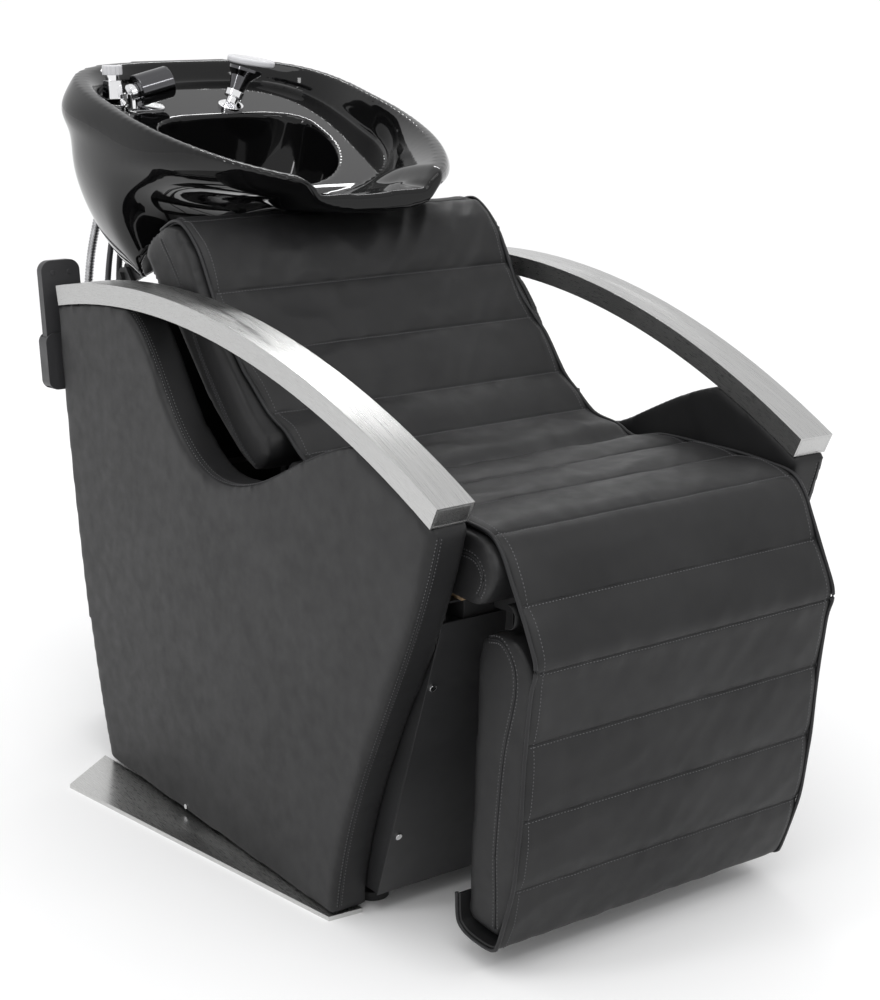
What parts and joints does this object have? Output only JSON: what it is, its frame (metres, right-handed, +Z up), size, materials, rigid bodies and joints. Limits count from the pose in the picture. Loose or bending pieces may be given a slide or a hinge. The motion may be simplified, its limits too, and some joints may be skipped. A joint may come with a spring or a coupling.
{
  "type": "shampoo backwash unit",
  "caption": "Salon backwash unit: low chair with bent steel armrests, channelled mat, powered leg rest and a tilting black ceramic bowl with mixer, hand spray and hoses behind the backrest.",
  "frame": {"origin": "on the floor, under the middle of the overall box", "axes": "+X to the right seen from the leg rest, +Y from the leg rest towards the bowl, +Z up"},
  "size_m": [0.854, 1.2834, 1.0296],
  "materials": {
    "vinyl": "black vinyl, fine grain",
    "mat_vinyl": "soft black vinyl, quilted in channels",
    "glaze": "gloss black glaze",
    "brushed": "brushed along its length",
    "chrome": "polished chrome",
    "dark_chrome": "smoked chrome",
    "frame_paint": "black powder coat",
    "cover_paint": "satin black",
    "plastic": "matte black",
    "pale_plastic": "light grey",
    "rubber": "black rubber",
    "plywood": "plain plywood",
    "hose_steel": "spiral metal hose",
    "hose_braid": "dark braided hose",
    "waste_plastic": "grey polypropylene"
  },
  "bodies": {
    "chair": {"actuator_motor": "plastic", "actuator_mounts": "frame_paint", "actuator_tube": "frame_paint", "armrest_caps": "brushed", "armrest_left": "brushed", "armrest_right": "brushed", "back_cushion": "vinyl", "back_frame_bars": "frame_paint", "base_rails": "frame_paint", "bowl_bracket": "frame_paint", "bowl_column": "frame_paint", "cold_supply_hose": "hose_braid", "control_box": "plastic", "floor_plate_left": "brushed", "floor_plate_right": "brushed", "front_cover": "cover_paint", "handset_holster": "plastic", "hinge_gaiter": "vinyl", "hinge_plates": "frame_paint", "hot_supply_hose": "hose_braid", "levelling_feet": "rubber", "mains_inlet": "plastic", "overlay_back": "mat_vinyl", "overlay_bend": "mat_vinyl", "overlay_seat": "mat_vinyl", "panel_spacers": "frame_paint", "rear_cover": "cover_paint", "seat_cushion": "vinyl", "seat_frame": "frame_paint", "service_plate": "frame_paint", "side_panel_left": "vinyl", "side_panel_right": "vinyl", "stop_valves": "chrome", "trim_screws": "chrome", "upholstery_boards": "plywood", "waste_hose": "waste_plastic", "waste_trap": "waste_plastic"},
    "leg_rest": {"leg_cushion": "vinyl", "leg_back_plate": "frame_paint", "leg_hinge_arms": "frame_paint", "overlay_leg": "mat_vinyl"},
    "actuator_rod": {"actuator_rod": "chrome", "actuator_rod_pin": "chrome"},
    "bowl": {"bowl": "glaze", "bowl_basin": "glaze", "bowl_carrier": "frame_paint", "bowl_pads": "rubber", "drain_fitting": "chrome", "mixer_body": "chrome", "vacuum_breaker": "chrome", "vacuum_breaker_cap": "pale_plastic", "spray_holder": "chrome", "spray_hose": "hose_steel"},
    "mixer_dial": {"mixer_dial": "dark_chrome"},
    "hand_spray": {"spray_handle": "dark_chrome", "spray_head": "pale_plastic"},
    "handset": {"handset_body": "plastic"},
    "button_raise": {"button_raise": "plastic"},
    "button_lower": {"button_lower": "plastic"},
    "strainer": {"hair_strainer": "chrome"}
  },
  "joints": [
    {"name": "leg_rest_swing", "type": "hinge", "parent": "chair", "child": "leg_rest", "pos_m": [0, -0.561, 0.458], "axis": [-1, 0, 0], "range_deg": [0, 75], "deforming": ["overlay_bend", "hinge_gaiter"]},
    {"name": "rod_extend", "type": "slide", "parent": "chair", "child": "actuator_rod", "axis": [0, -1, 0], "range_m": [0, 0.1625]},
    {"name": "bowl_tilt", "type": "hinge", "parent": "chair", "child": "bowl", "pos_m": [0, 0.54, 0.69], "axis": [-1, 0, 0], "range_deg": [0, 8], "deforming": ["waste_hose", "hot_supply_hose", "cold_supply_hose"]},
    {"name": "mixer_dial_turn", "type": "hinge", "parent": "bowl", "child": "mixer_dial", "pos_m": [-0.133, 0.518, 0.97906], "axis": [0.9744, 0, 0.225], "range_deg": [0, 120]},
    {"name": "spray_lift", "type": "slide", "parent": "bowl", "child": "hand_spray", "axis": [0.4602, 0.05, 0.8864], "range_m": [0, 0.08]},
    {"name": "strainer_lift", "type": "slide", "parent": "bowl", "child": "strainer", "axis": [0, 0, 1], "range_m": [0, 0.05]},
    {"name": "handset_lift", "type": "slide", "parent": "chair", "child": "handset", "axis": [0, 0.0872, 0.9962], "range_m": [0, 0.09]},
    {"name": "button_raise_press", "type": "slide", "parent": "handset", "child": "button_raise", "axis": [0, -0.9962, 0.0872], "range_m": [0, 0.0015], "stiffness_N_per_m": 350, "springref_m": -0.0003},
    {"name": "button_lower_press", "type": "slide", "parent": "handset", "child": "button_lower", "axis": [0, -0.9962, 0.0872], "range_m": [0, 0.0015], "stiffness_N_per_m": 350, "springref_m": -0.0003}
  ],
  "couplings": [
    {"joint": "rod_extend", "follows": "leg_rest_swing", "m_per_rad": 0.1241}
  ]
}
